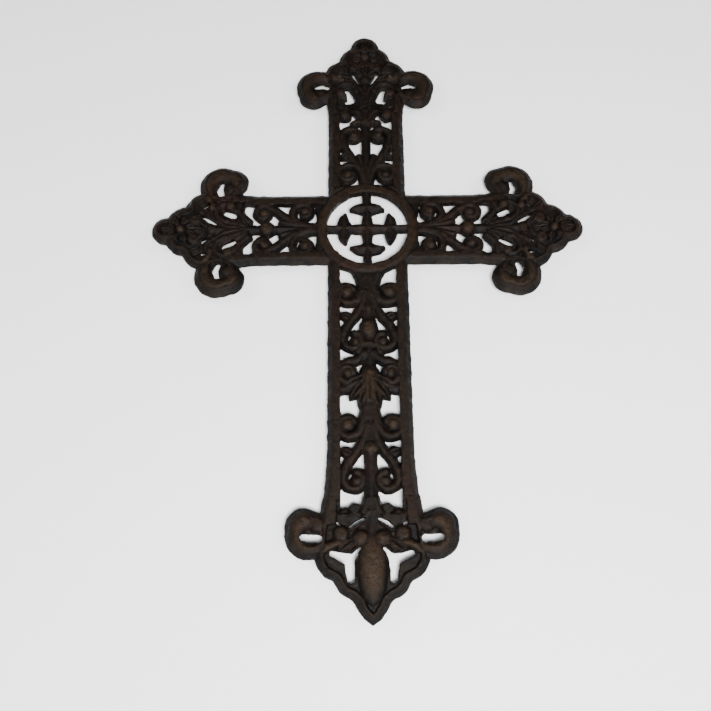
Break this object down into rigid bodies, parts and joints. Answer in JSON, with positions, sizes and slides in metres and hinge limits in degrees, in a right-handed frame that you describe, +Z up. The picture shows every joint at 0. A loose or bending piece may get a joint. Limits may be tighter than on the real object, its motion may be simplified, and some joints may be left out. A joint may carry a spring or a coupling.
{
  "type": "cast-iron openwork cross",
  "caption": "Openwork cast-iron cross with scrollwork panels between plain rails, a ring at the crossing and lobed finials; a flat-backed casting to fix to a wall, headstone or gravestone.",
  "frame": {"origin": "centre of the small cross inside the ring, on the flat back", "axes": "X along the arms, +Z up the shaft to the head, the face looks along -Y and the flat back lies in the plane y = 0"},
  "size_m": [0.291, 0.0064, 0.4184],
  "materials": {
    "iron": "old cast iron, dark brown-black with rust-brown and olive-tan wear on the relief, satin"
  },
  "bodies": {
    "root": {"cross": "iron"}
  },
  "joints": []
}
